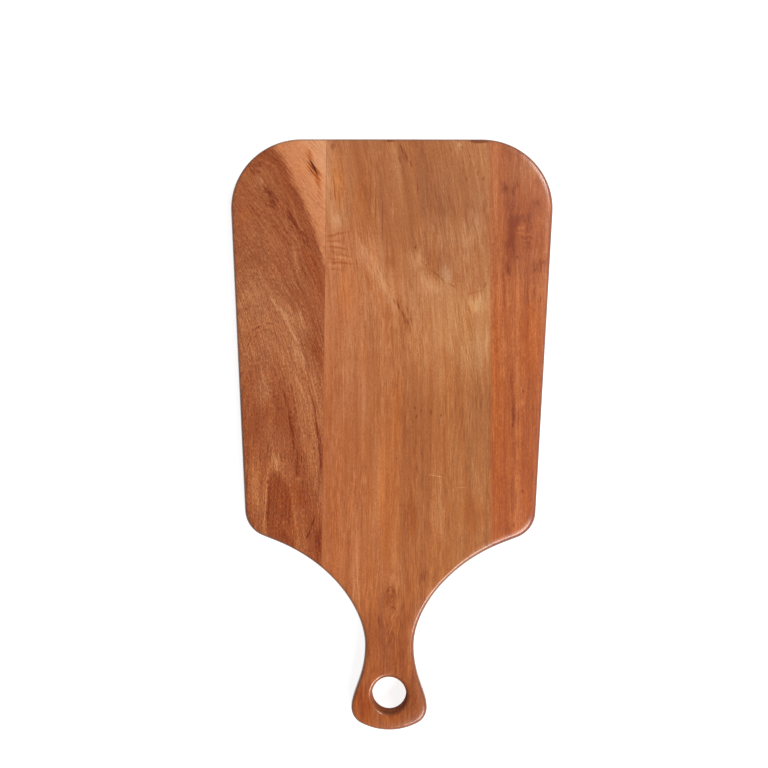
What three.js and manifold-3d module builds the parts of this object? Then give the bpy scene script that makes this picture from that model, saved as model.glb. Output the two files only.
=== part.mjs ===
// Serving board: three wooden staves glued edge to edge, with a necked grip and a hanging hole in the centre stave.
// Millimetres, +Z up. The board lies flat on z = 0, its long axis is Y and the grip points to -Y.
import * as THREE from "three";
import { mergeVertices } from "three/addons/utils/BufferGeometryUtils.js";
import Module from "manifold-3d";

// Body of the board
const BODY_LENGTH = 261.5; // far edge to the shoulder corners, measured before rounding
const BOARD_WIDTH = 216.2; // over the far corners, where the board is widest
const SHOULDER_WIDTH = 188; // between the tapered sides at the shoulder corners, before rounding
const FAR_CORNER_RADIUS = 47;
const SHOULDER_RADIUS = 18.4;
const THICKNESS = 16;
const EDGE_ROUND = 2.5; // radius on both rims, all round the outline and the hole

// Sweep from each shoulder into the neck
const SHOULDER_SLOPE = THREE.MathUtils.degToRad(21); // fall of the shoulder line towards the grip
const SHOULDER_RUN = 21.4; // straight length of the shoulder line before it is rounded and before it curves
const SWEEP_SHOULDER_PULL = 0.474; // curve handles, as shares of the straight distance they span
const SWEEP_NECK_PULL = 0.231;

// Grip
const HANDLE_LENGTH = 126.5; // shoulder corners to the end of the grip
const NECK_WIDTH = 31.4;
const NECK_FROM_END = 53;
const FLARE_NECK_PULL = 0.51;
const FLARE_END_PULL = 0.242;
const END_WIDTH = 48.4;
const END_RADIUS = 40;
const END_CORNER_RADIUS = 11;
const HOLE_DIAMETER = 22;
const HOLE_FROM_END = 22; // end of the grip to the middle of the hole

// Joints between the staves
const LEFT_JOINT = 44; // board axis to the middle of each joint
const RIGHT_JOINT = 66;
const GLUE_THICKNESS = 0.25;

// Fineness of the curves
const CURVE_SEGMENTS = 12;
const ROUND_SEGMENTS = 4;

// Finish
const LEFT_WOOD = 0xa76442;
const CENTRE_WOOD = 0xb67147;
const RIGHT_WOOD = 0xb3643d;
const DRIED_GLUE = 0x6b3a22;
const WOOD_ROUGHNESS = 0.42;
const GLUE_ROUGHNESS = 0.5;

const boardLength = BODY_LENGTH + HANDLE_LENGTH;
const farY = boardLength / 2;
const endY = -boardLength / 2;
const shoulderY = farY - BODY_LENGTH;

const wasm = await Module();
wasm.setup();

// Rounds the corner between two straight lines with an arc, starting and ending where the arc touches them.
function roundCorner(path, before, corner, after, radius) {
  const back = before.clone().sub(corner).normalize();
  const on = after.clone().sub(corner).normalize();
  const halfAngle = Math.acos(back.dot(on)) / 2;
  const inward = back.clone().add(on).normalize();
  const centre = corner.clone().addScaledVector(inward, radius / Math.sin(halfAngle));
  const reach = radius / Math.tan(halfAngle);
  const start = corner.clone().addScaledVector(back, reach).sub(centre);
  const end = corner.clone().addScaledVector(on, reach).sub(centre);
  path.absarc(centre.x, centre.y, radius, start.angle(), end.angle(), start.cross(end) < 0);
}

// Curve from the path's last point to another, leaving and arriving along the given directions.
function sweepTo(path, from, leaving, leavingPull, to, arriving, arrivingPull) {
  const span = from.distanceTo(to);
  const first = from.clone().addScaledVector(leaving, leavingPull * span);
  const second = to.clone().addScaledVector(arriving, -arrivingPull * span);
  path.bezierCurveTo(first.x, first.y, second.x, second.y, to.x, to.y);
}

// The right half of the outline runs from the far edge to the grip, and the left half mirrors it on the way back.
function boardOutline() {
  const axisward = new THREE.Vector2(-Math.cos(SHOULDER_SLOPE), -Math.sin(SHOULDER_SLOPE));
  const endward = new THREE.Vector2(0, -1);
  const shoulder = new THREE.Vector2(SHOULDER_WIDTH / 2, shoulderY);
  const sweepStart = shoulder.clone().addScaledVector(axisward, SHOULDER_RUN);
  const neck = new THREE.Vector2(NECK_WIDTH / 2, endY + NECK_FROM_END);

  // Each side is the line from its shoulder that just touches the far corner's arc.
  const farCentre = new THREE.Vector2(BOARD_WIDTH / 2, farY).subScalar(FAR_CORNER_RADIUS);
  const toShoulder = shoulder.clone().sub(farCentre);
  const touchAngle = toShoulder.angle() + Math.acos(FAR_CORNER_RADIUS / toShoulder.length());

  // The end of the grip is one wide arc with a smaller arc inside it at each corner.
  const endCentreY = endY + END_RADIUS;
  const cornerX = END_WIDTH / 2 - END_CORNER_RADIUS;
  const cornerDrop = Math.sqrt((END_RADIUS - END_CORNER_RADIUS) ** 2 - cornerX ** 2);
  const cornerY = endCentreY - cornerDrop;
  const widest = new THREE.Vector2(END_WIDTH / 2, cornerY);
  const meetAngle = Math.atan2(-cornerDrop, cornerX);

  const half = new THREE.Path();
  half.moveTo(0, farY);
  half.absarc(farCentre.x, farCentre.y, FAR_CORNER_RADIUS, Math.PI / 2, touchAngle, true);
  roundCorner(half, half.currentPoint.clone(), shoulder, sweepStart, SHOULDER_RADIUS);
  half.lineTo(sweepStart.x, sweepStart.y);
  sweepTo(half, sweepStart, axisward, SWEEP_SHOULDER_PULL, neck, endward, SWEEP_NECK_PULL);
  sweepTo(half, neck, endward, FLARE_NECK_PULL, widest, endward, FLARE_END_PULL);
  half.absarc(cornerX, cornerY, END_CORNER_RADIUS, 0, meetAngle, true);
  half.absarc(0, endCentreY, END_RADIUS, meetAngle, -Math.PI / 2, true);

  const right = half.getPoints(CURVE_SEGMENTS);
  const left = right.slice(1, -1).reverse().map((p) => new THREE.Vector2(-p.x, p.y));
  return new THREE.Shape([...right, ...left]);
}

function solidOf(geometry) {
  geometry.deleteAttribute("normal");
  geometry.deleteAttribute("uv");
  const merged = mergeVertices(geometry);
  const vertProperties = merged.getAttribute("position").array;
  const triVerts = new Uint32Array(merged.index.array);
  return new wasm.Manifold(new wasm.Mesh({ numProp: 3, vertProperties, triVerts }));
}

function geometryOf(solid) {
  const { vertProperties, triVerts } = solid.getMesh();
  const geometry = new THREE.BufferGeometry();
  geometry.setAttribute("position", new THREE.BufferAttribute(vertProperties, 3));
  geometry.setIndex(new THREE.BufferAttribute(triVerts, 1));
  return geometry;
}

// The whole board as glued up: outline, drilled hole and rounded rims.
function boardBlank() {
  const outline = boardOutline();
  const hole = new THREE.Path();
  hole.absarc(0, endY + HOLE_FROM_END, HOLE_DIAMETER / 2, 0, 2 * Math.PI);
  outline.holes.push(hole);
  const geometry = new THREE.ExtrudeGeometry(outline, {
    depth: THICKNESS - 2 * EDGE_ROUND,
    bevelThickness: EDGE_ROUND,
    bevelSize: EDGE_ROUND,
    bevelOffset: -EDGE_ROUND,
    bevelSegments: ROUND_SEGMENTS,
    curveSegments: CURVE_SEGMENTS,
  });
  return solidOf(geometry.translate(0, 0, EDGE_ROUND));
}

// The lengthwise strip of the board between two planes across X.
function strip(blank, fromX, toX) {
  const slab = new THREE.BoxGeometry(toX - fromX, 2 * boardLength, 4 * THICKNESS);
  return blank.intersect(solidOf(slab.translate((fromX + toX) / 2, 0, 0)));
}

function piece(name, solid, color, roughness) {
  const material = new THREE.MeshStandardMaterial({ color, roughness, metalness: 0 });
  const mesh = new THREE.Mesh(geometryOf(solid), material);
  mesh.name = name;
  return mesh;
}

const blank = boardBlank();
const halfGlue = GLUE_THICKNESS / 2;
const outside = BOARD_WIDTH; // a plane well clear of the board on either side

const board = new THREE.Group();
board.name = "serving_board";
board.add(
  piece("left_stave", strip(blank, -outside, -LEFT_JOINT - halfGlue), LEFT_WOOD, WOOD_ROUGHNESS),
  piece("centre_stave", strip(blank, -LEFT_JOINT + halfGlue, RIGHT_JOINT - halfGlue), CENTRE_WOOD, WOOD_ROUGHNESS),
  piece("right_stave", strip(blank, RIGHT_JOINT + halfGlue, outside), RIGHT_WOOD, WOOD_ROUGHNESS),
  piece("left_glue_line", strip(blank, -LEFT_JOINT - halfGlue, -LEFT_JOINT + halfGlue), DRIED_GLUE, GLUE_ROUGHNESS),
  piece("right_glue_line", strip(blank, RIGHT_JOINT - halfGlue, RIGHT_JOINT + halfGlue), DRIED_GLUE, GLUE_ROUGHNESS),
);

export default board;
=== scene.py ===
"""Paddle-shaped serving board: three wooden staves, the glue between them and a plain studio stage."""

import math
from collections import namedtuple

import bmesh
import bpy
from bpy.props import FloatProperty, FloatVectorProperty, PointerProperty
from mathutils import Matrix, Vector, kdtree
from mathutils.geometry import interpolate_bezier


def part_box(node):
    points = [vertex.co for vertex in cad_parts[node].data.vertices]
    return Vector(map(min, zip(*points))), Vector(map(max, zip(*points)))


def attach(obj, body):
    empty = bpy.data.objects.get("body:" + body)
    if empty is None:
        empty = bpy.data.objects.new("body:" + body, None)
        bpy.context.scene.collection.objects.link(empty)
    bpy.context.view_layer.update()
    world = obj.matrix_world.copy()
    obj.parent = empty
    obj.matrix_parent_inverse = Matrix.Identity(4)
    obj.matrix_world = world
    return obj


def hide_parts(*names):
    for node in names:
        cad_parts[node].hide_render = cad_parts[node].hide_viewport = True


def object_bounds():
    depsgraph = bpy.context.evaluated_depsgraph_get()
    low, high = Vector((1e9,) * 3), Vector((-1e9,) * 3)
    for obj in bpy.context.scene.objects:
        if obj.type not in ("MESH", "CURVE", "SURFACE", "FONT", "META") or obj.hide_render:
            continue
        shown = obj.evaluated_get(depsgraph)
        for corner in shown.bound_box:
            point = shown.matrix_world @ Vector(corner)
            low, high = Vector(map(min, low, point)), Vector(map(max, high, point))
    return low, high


bl_info = {
    "name": "Serving Board",
    "version": (1, 0, 0),
    "blender": (4, 5, 0),
    "location": "View3D > Sidebar > Board",
    "description": "Builds a glued-up wooden serving board with a necked grip and a hanging hole",
    "category": "Add Mesh",
}

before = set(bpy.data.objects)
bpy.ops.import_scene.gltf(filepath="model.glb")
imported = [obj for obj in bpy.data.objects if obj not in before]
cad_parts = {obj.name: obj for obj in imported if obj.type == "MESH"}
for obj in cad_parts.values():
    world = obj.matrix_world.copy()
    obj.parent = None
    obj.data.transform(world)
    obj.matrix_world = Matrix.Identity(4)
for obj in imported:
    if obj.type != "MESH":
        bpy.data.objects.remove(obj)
cad_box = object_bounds()
left_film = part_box("left_glue_line")
right_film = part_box("right_glue_line")

MM = 0.001
BODY = "root"


def linear_colour(red, green, blue):
    """Scene colour of the usual 0 to 255 screen values."""
    def channel(value):
        value /= 255
        return value / 12.92 if value <= 0.04045 else ((value + 0.055) / 1.055) ** 2.4
    return tuple(channel(value) for value in (red, green, blue))


# Kinds of property

def length(name, description, default):
    return FloatProperty(name=name, description=description, default=default, min=0.0, unit="LENGTH", precision=4)


def share(name, description, default):
    return FloatProperty(name=name, description=description, default=default, min=0.0, max=1.0, subtype="FACTOR")


def colour(name, description, red, green, blue):
    default = linear_colour(red, green, blue)
    return FloatVectorProperty(
        name=name, description=description, default=default, size=3, min=0.0, max=1.0, subtype="COLOR")


def angle(name, description, degrees):
    return FloatProperty(name=name, description=description, default=math.radians(degrees), unit="ROTATION")


def position(name, description, default):
    return FloatVectorProperty(
        name=name, description=description, default=default, size=3, subtype="TRANSLATION", unit="LENGTH")


def power(name, description, default):
    return FloatProperty(name=name, description=description, default=default, min=0.0, unit="POWER")


class BoardSizes(bpy.types.PropertyGroup):
    """Outline, thickness and joints of the board."""
    width: length("Width", "Over the far corners, where the board is widest", cad_box[1].x - cad_box[0].x)
    thickness: length("Thickness", "Underside to serving face", cad_box[1].z - cad_box[0].z)
    body_length: length("Body length", "Far edge to the shoulder corners, before rounding", 261.5 * MM)
    shoulder_width: length("Shoulder width", "Between the tapered sides at the shoulders", 188 * MM)
    far_corner_radius: length("Far corner radius", "Rounding of the two far corners", 47 * MM)
    shoulder_radius: length("Shoulder radius", "Rounding of the two shoulders", 18.4 * MM)
    shoulder_slope: angle("Shoulder slope", "Fall of the shoulder line towards the grip", 21)
    shoulder_run: length("Shoulder run", "Straight length of the shoulder line", 21.4 * MM)
    sweep_shoulder_pull: share("Sweep, shoulder end", "Pull of the sweep's handle at the shoulder", 0.474)
    sweep_neck_pull: share("Sweep, neck end", "Pull of the sweep's handle at the neck", 0.231)
    handle_length: length("Handle length", "Shoulder corners to the end of the grip", 126.5 * MM)
    neck_width: length("Neck width", "Narrowest part of the handle", 31.4 * MM)
    neck_from_end: length("Neck from end", "End of the grip to the neck", 53 * MM)
    flare_neck_pull: share("Flare, neck end", "Pull of the flare's handle at the neck", 0.51)
    flare_end_pull: share("Flare, grip end", "Pull of the flare's handle at the grip's end", 0.242)
    end_width: length("End width", "Widest part of the grip", 48.4 * MM)
    end_radius: length("End radius", "Large arc across the end of the grip", 40 * MM)
    end_corner_radius: length("End corner radius", "Rounding at each corner of the grip", 11 * MM)
    hole_diameter: length("Hole diameter", "Hanging hole through the grip", 22 * MM)
    hole_from_end: length("Hole from end", "End of the grip to the middle of the hole", 22 * MM)
    edge_round: length("Edge rounding", "Radius on both rims and round the hole", 2.5 * MM)
    corner_easing: length("Corner easing", "How far the sanded corners drop at the rim", 1.4 * MM)


class BoardColours(bpy.types.PropertyGroup):
    """Colours of the three staves and of the glue."""
    left_dark: colour("Left, dark", "Darkest figure of the left stave", 124, 45, 10)
    left_body: colour("Left, body", "Main colour of the left stave", 169, 95, 55)
    left_light: colour("Left, light", "Palest heartwood of the left stave", 214, 145, 95)
    left_sapwood: colour("Left, sapwood", "Pale wedge at the far end of the left stave", 222, 143, 94)
    centre_dark: colour("Centre, dark", "Darkest figure of the centre stave", 138, 68, 33)
    centre_body: colour("Centre, body", "Main colour of the centre stave", 181, 109, 62)
    centre_light: colour("Centre, light", "Palest figure of the centre stave", 219, 154, 105)
    right_dark: colour("Right, dark", "Darkest figure of the right stave", 137, 58, 21)
    right_body: colour("Right, body", "Main colour of the right stave", 179, 97, 50)
    right_light: colour("Right, light", "Palest figure of the right stave", 218, 138, 86)
    glue: colour("Glue", "Dried glue in the joints", 164, 92, 52)


class BoardStage(bpy.types.PropertyGroup):
    """Camera and light."""
    camera_place: position("Camera place", "Where the camera stands", (0.0064, -0.0349, 0.658))
    camera_tilt: angle("Camera tilt", "Lean of the camera towards the far edge", 5.55)
    camera_turn: angle("Camera turn", "Turn of the camera towards the left of the board", 0.954)
    camera_roll: angle("Camera roll", "Turn of the camera about its own axis", 0.23)
    lens: FloatProperty(
        name="Lens", description="Focal length on a 36 mm sensor", default=45.98, min=1.0, unit="CAMERA")
    near_light_place: position(
        "Near light place", "Middle of the large soft box beyond the right of the grip", (1.81, -2.2, 2.66))
    near_light_width: length("Near light width", "Width of the large soft box", 2.7)
    near_light_height: length("Near light height", "Height of the large soft box", 1.5)
    near_light_power: power("Near light power", "Strength of the large soft box", 142.0)
    far_light_place: position(
        "Far light place", "Middle of the small soft box beyond the right of the far edge", (1.13, 1.13, 1.52))
    far_light_width: length("Far light width", "Width of the small soft box", 0.45)
    far_light_height: length("Far light height", "Height of the small soft box", 0.8)
    far_light_power: power("Far light power", "Strength of the small soft box", 17.0)
    ceiling_light: share("Ceiling light", "Soft light of the room from straight above", 0.1)
    wall_light: share("Wall light", "Soft light of the room from low down all round", 0.4)
    floor: colour("Floor", "Pale floor under the board", 188, 188, 188)


class ServingBoard(bpy.types.PropertyGroup):
    """Everything a user would change on the board."""
    sizes: PointerProperty(type=BoardSizes)
    colours: PointerProperty(type=BoardColours)
    stage: PointerProperty(type=BoardStage)


# Shape

ARC_STEPS = 28
CORNER_STEPS = 20
SWEEP_STEPS = 56
HOLE_STEPS = 48
ROUND_STEPS = 8
FLAT_RINGS = (0.6 * MM, 0.9 * MM, 1.2 * MM)  # steps inwards from the rims, which carry the sanded easing
UP = Vector((0, 0, 1))
WELD = 1e-6
FLAT = 0.9999  # upward share of the normal of a face that counts as flat


class Outline:
    """A run of edges that grows from its last vertex."""

    def __init__(self, bm, start):
        self.bm = bm
        self.first = self.last = bm.verts.new(start)

    def line(self, point):
        """Straight on to a point."""
        vertex = self.bm.verts.new(point)
        self.bm.edges.new((self.last, vertex))
        self.last = vertex

    def arc(self, centre, turn, steps):
        """Round a centre, by an angle."""
        made = bmesh.ops.spin(self.bm, geom=[self.last], cent=centre, axis=UP, angle=turn, steps=steps)
        self.last = next(v for v in made["geom_last"] if isinstance(v, bmesh.types.BMVert))

    def sweep(self, leaving, leaving_pull, point, arriving, arriving_pull):
        """Along a smooth curve to a point, with handles as shares of the straight distance."""
        start = self.last.co.copy()
        span = (point - start).length
        first = start + leaving * leaving_pull * span
        second = point - arriving * arriving_pull * span
        for step in interpolate_bezier(start, first, second, point, SWEEP_STEPS + 1)[1:]:
            self.line(step)

    def close(self):
        """Back to the first vertex."""
        self.bm.edges.new((self.last, self.first))


def half_board(bm, sizes):
    """Right half of the board as one flat face, closed along the axis and round the half hole."""
    board_length = sizes.body_length + sizes.handle_length
    far_y, end_y = board_length / 2, -board_length / 2
    endward = Vector((0, -1, 0))
    slope = Vector((-math.cos(sizes.shoulder_slope), -math.sin(sizes.shoulder_slope), 0))
    shoulder = Vector((sizes.shoulder_width / 2, far_y - sizes.body_length, 0))

    corner = sizes.far_corner_radius
    corner_centre = Vector((sizes.width / 2 - corner, far_y - corner, 0))
    to_shoulder = shoulder - corner_centre
    touch = math.atan2(to_shoulder.y, to_shoulder.x) + math.acos(corner / to_shoulder.length)
    outline = Outline(bm, (0, far_y, 0))
    outline.line((corner_centre.x, far_y, 0))
    outline.arc(corner_centre, touch - math.pi / 2, ARC_STEPS)

    up_side = (outline.last.co - shoulder).normalized()
    half_angle = up_side.angle(slope) / 2
    inward = (up_side + slope).normalized()
    outline.line(shoulder + up_side * sizes.shoulder_radius / math.tan(half_angle))
    shoulder_centre = shoulder + inward * sizes.shoulder_radius / math.sin(half_angle)
    outline.arc(shoulder_centre, 2 * half_angle - math.pi, CORNER_STEPS)

    outline.line(shoulder + slope * sizes.shoulder_run)
    neck = Vector((sizes.neck_width / 2, end_y + sizes.neck_from_end, 0))
    outline.sweep(slope, sizes.sweep_shoulder_pull, neck, endward, sizes.sweep_neck_pull)

    end_corner = sizes.end_corner_radius
    corner_x = sizes.end_width / 2 - end_corner
    drop = math.sqrt((sizes.end_radius - end_corner) ** 2 - corner_x ** 2)
    end_centre = Vector((0, end_y + sizes.end_radius, 0))
    grip_centre = Vector((corner_x, end_centre.y - drop, 0))
    widest = grip_centre + Vector((end_corner, 0, 0))
    outline.sweep(endward, sizes.flare_neck_pull, widest, endward, sizes.flare_end_pull)
    meet = math.atan2(-drop, corner_x)
    outline.arc(grip_centre, meet, CORNER_STEPS)
    outline.arc(end_centre, -math.pi / 2 - meet, CORNER_STEPS)

    hole_centre = Vector((0, end_y + sizes.hole_from_end, 0))
    outline.line(hole_centre - Vector((0, sizes.hole_diameter / 2, 0)))
    outline.arc(hole_centre, math.pi, HOLE_STEPS)
    outline.close()
    bmesh.ops.remove_doubles(bm, verts=bm.verts[:], dist=WELD)
    bmesh.ops.edgeloop_fill(bm, edges=bm.edges[:])


EASE_BEND = 1.4  # 1 would sand a flat bevel, 2 a hollow one
WALL_SHARE = 0.99  # share of the rims' radius that is left out when the upright wall is looked for
EasedCorner = namedtuple("EasedCorner", "x y reach amount")  # amount is a share of the full easing
EASED_CORNERS = (
    EasedCorner(92 * MM, -62 * MM, 60 * MM, 1.0),
    EasedCorner(97 * MM, 180 * MM, 60 * MM, 0.45),
    EasedCorner(18 * MM, -132 * MM, 40 * MM, 0.25),
    EasedCorner(-92 * MM, -62 * MM, 35 * MM, 0.3),
    EasedCorner(20 * MM, -186 * MM, 30 * MM, 0.35),
)


def ease_corners(bm, sizes):
    """Sands the rim of the serving face a little lower at the corners that hands and tables rub."""
    middle = sizes.thickness / 2
    wall = [v.co for v in bm.verts if abs(v.co.z - middle) < middle - sizes.edge_round * WALL_SHARE]
    rim = kdtree.KDTree(len(wall))
    for index, place in enumerate(wall):
        rim.insert((place.x, place.y, 0), index)
    rim.balance()
    reach = sizes.edge_round + sum(FLAT_RINGS)
    for vertex in bm.verts:
        height = (vertex.co.z - middle) / middle
        if height <= 0:
            continue
        wear = max(
            corner.amount * max(0.0, 1 - math.hypot(vertex.co.x - corner.x, vertex.co.y - corner.y) / corner.reach)
            for corner in EASED_CORNERS)
        inset = rim.find((vertex.co.x, vertex.co.y, 0))[2] / reach
        vertex.co.z -= sizes.corner_easing * math.sqrt(wear) * max(0.0, 1 - inset) ** EASE_BEND * height


def board_blank(sizes):
    """The whole board as glued up: outline, drilled hole, rounded rims and sanded corners."""
    bm = bmesh.new()
    half_board(bm, sizes)
    bmesh.ops.mirror(bm, geom=bm.verts[:] + bm.edges[:] + bm.faces[:], axis="X", merge_dist=WELD)
    bmesh.ops.recalc_face_normals(bm, faces=bm.faces[:])
    raised = bmesh.ops.extrude_face_region(bm, geom=bm.faces[:])["geom"]
    bmesh.ops.translate(
        bm, verts=[v for v in raised if isinstance(v, bmesh.types.BMVert)], vec=UP * sizes.thickness)
    bmesh.ops.recalc_face_normals(bm, faces=bm.faces[:])

    flat = {f for f in bm.faces if abs(f.normal.z) > 0.5}
    rims = [e for e in bm.edges if len(set(e.link_faces) & flat) == 1]
    bmesh.ops.bevel(
        bm, geom=rims, offset=sizes.edge_round, offset_type="OFFSET", affect="EDGES", segments=ROUND_STEPS,
        profile=0.5, material=-1, clamp_overlap=False)
    for step in FLAT_RINGS:
        caps = [f for f in bm.faces if abs(f.normal.z) > FLAT and len(f.verts) > 4]
        bmesh.ops.inset_region(bm, faces=caps, thickness=step, use_boundary=True, use_even_offset=True)
    ease_corners(bm, sizes)
    for face in bm.faces:
        face.smooth = True
    return bm


def cut_away(bm, x, keep):
    """Cuts the board across X and closes the cut; keep is +1 to hold on to the side of greater X, or -1."""
    bmesh.ops.bisect_plane(
        bm, geom=bm.verts[:] + bm.edges[:] + bm.faces[:], dist=WELD / 10, plane_co=(x, 0, 0), plane_no=(keep, 0, 0),
        clear_inner=True)
    section = [e for e in bm.edges if e.is_boundary]
    bmesh.ops.edgeloop_fill(bm, edges=section)
    for edge in section:
        edge.smooth = False


def add_strip(context, name, material, from_x=None, to_x=None):
    """Adds the lengthwise strip of the board between two planes as a piece that rides on the frame."""
    bm = board_blank(context.scene.serving_board.sizes)
    if from_x is not None:
        cut_away(bm, from_x, 1)
    if to_x is not None:
        cut_away(bm, to_x, -1)
    bmesh.ops.recalc_face_normals(bm, faces=bm.faces[:])
    if not bm.faces or any(not e.is_manifold for e in bm.edges):
        raise RuntimeError(f"{name} did not close into a solid")
    mesh = bpy.data.meshes.new(name)
    bm.to_mesh(mesh)
    bm.free()
    mesh.materials.append(material)
    piece = bpy.data.objects.new(name, mesh)
    context.collection.objects.link(piece)
    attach(piece, BODY)
    return piece


# Materials

class Graph:
    """A material's nodes, added by short calls."""

    def __init__(self, name):
        self.material = bpy.data.materials.new(name)
        self.material.use_nodes = True
        self.tree = self.material.node_tree
        self.shader = self.tree.nodes["Principled BSDF"]

    def feed(self, socket, value):
        """Links a socket, or sets its own value."""
        if isinstance(value, bpy.types.NodeSocket):
            self.tree.links.new(value, socket)
        else:
            socket.default_value = value

    def add(self, kind, *values, **settings):
        """A node with settings and its first inputs, in order."""
        node = self.tree.nodes.new(kind)
        for key, value in settings.items():
            setattr(node, key, value)
        for socket, value in zip(node.inputs, values):
            self.feed(socket, value)
        return node

    def math(self, operation, *values):
        return self.add("ShaderNodeMath", *values, operation=operation).outputs[0]

    def vector(self, operation, *values):
        node = self.add("ShaderNodeVectorMath", *values, operation=operation)
        return node.outputs["Value" if operation == "LENGTH" else "Vector"]

    def join(self, x=0.0, y=0.0, z=0.0):
        return self.add("ShaderNodeCombineXYZ", x, y, z).outputs[0]

    def split(self, vector):
        return self.add("ShaderNodeSeparateXYZ", vector).outputs[:]

    def plus(self, first, *rest):
        """Sum of several values."""
        for value in rest:
            first = self.math("ADD", first, value)
        return first

    def minus(self, first, second):
        return self.math("SUBTRACT", first, second)

    def times(self, first, second):
        return self.math("MULTIPLY", first, second)

    def over(self, first, second):
        return self.math("DIVIDE", first, second)

    def times_plus(self, value, factor, addend):
        return self.math("MULTIPLY_ADD", value, factor, addend)

    def between(self, first, second, way):
        """Value part of the way from a first one to a second."""
        return self.times_plus(self.minus(second, first), way, first)

    def spread(self, value, low, high, to_low=0.0, to_high=1.0, shape="SMOOTHSTEP"):
        """Maps a range of values to another; a smooth step levels off by itself, so only a line is clamped."""
        return self.add(
            "ShaderNodeMapRange", value, low, high, to_low, to_high, interpolation_type=shape,
            clamp=shape == "LINEAR").outputs[0]

    def noise(self, place, cell, detail=0.0, roughness=0.5):
        """Soft noise round zero, with cells of the given size along each axis."""
        size = (cell,) * 3 if isinstance(cell, float) else cell
        scaled = self.vector("DIVIDE", place, size)
        node = self.tree.nodes.new("ShaderNodeTexNoise")
        self.feed(node.inputs["Vector"], scaled)
        node.inputs["Scale"].default_value = 1.0
        node.inputs["Detail"].default_value = detail
        node.inputs["Roughness"].default_value = roughness
        return self.minus(node.outputs[0], 0.5)

    def curve(self, value, low, high, points):
        """Value read off a smooth line through points whose first number lies from low to high."""
        node = self.add("ShaderNodeFloatCurve", 1.0, self.spread(value, low, high, shape="LINEAR"))
        line = node.mapping.curves[0]
        places = [((at - low) / (high - low), height) for at, height in points]
        line.points[0].location, line.points[1].location = places[0], places[-1]
        for place in places[1:-1]:
            line.points.new(*place)
        node.mapping.update()
        return node.outputs[0]

    def blend(self, factor, first, second):
        """Mix of two colours."""
        node = self.tree.nodes.new("ShaderNodeMix")
        node.data_type = "RGBA"
        for socket, value in zip((node.inputs[0], node.inputs[6], node.inputs[7]), (factor, first, second)):
            self.feed(socket, value)
        return node.outputs[2]

    def tinted(self, base, amount, tint):
        """Colour whose channels change by an amount of a tint, as shares."""
        change = self.vector("MULTIPLY_ADD", self.join(amount, amount, amount), tint, (1, 1, 1))
        return self.vector("MULTIPLY", base, change)

    def palette(self, tone, *stops):
        """Colour of a tone, from stops of place and colour."""
        node = self.add("ShaderNodeValToRGB", tone)
        ramp = node.color_ramp
        while len(ramp.elements) < len(stops):
            ramp.elements.new(1.0)
        for element, (place, shade) in zip(ramp.elements, stops):
            element.position = place
            element.color = (*shade, 1.0)
        return node.outputs[0]


# A mark in the figure of the wood, or a patch of painted sheen or shade: middle, half width and half length in mm,
# lean in degrees (positive leans to the left going away from the grip), and what it adds to the tone and to the
# redness. Tables of figure list marks as rows.
Mark = namedtuple("Mark", "x y wide long lean tone red", defaults=(0.0, 0.0, 0.0))


def marks(graph, place, listed, core=0.15):
    """Adds up soft-edged marks, whose core is at full strength; returns their tone and their redness."""
    tone = red = 0.0
    for mark in (Mark(*row) for row in listed):
        own = graph.add(
            "ShaderNodeMapping", place, (mark.x * MM, mark.y * MM, 0), (0, 0, math.radians(mark.lean)),
            (mark.wide * MM, mark.long * MM, 1), vector_type="TEXTURE").outputs[0]
        ball = graph.add("ShaderNodeTexGradient", own, gradient_type="SPHERICAL").outputs["Fac"]
        strength = graph.spread(ball, 0.0, 1.0 - core)
        if mark.tone:
            tone = graph.times_plus(strength, mark.tone, tone)
        if mark.red:
            red = graph.times_plus(strength, mark.red, red)
    return tone, red


def cell(wide, long):
    """Cell of a noise that is longer along the fibres than across them, from mm."""
    return wide * MM, long * MM, wide * MM


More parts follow.
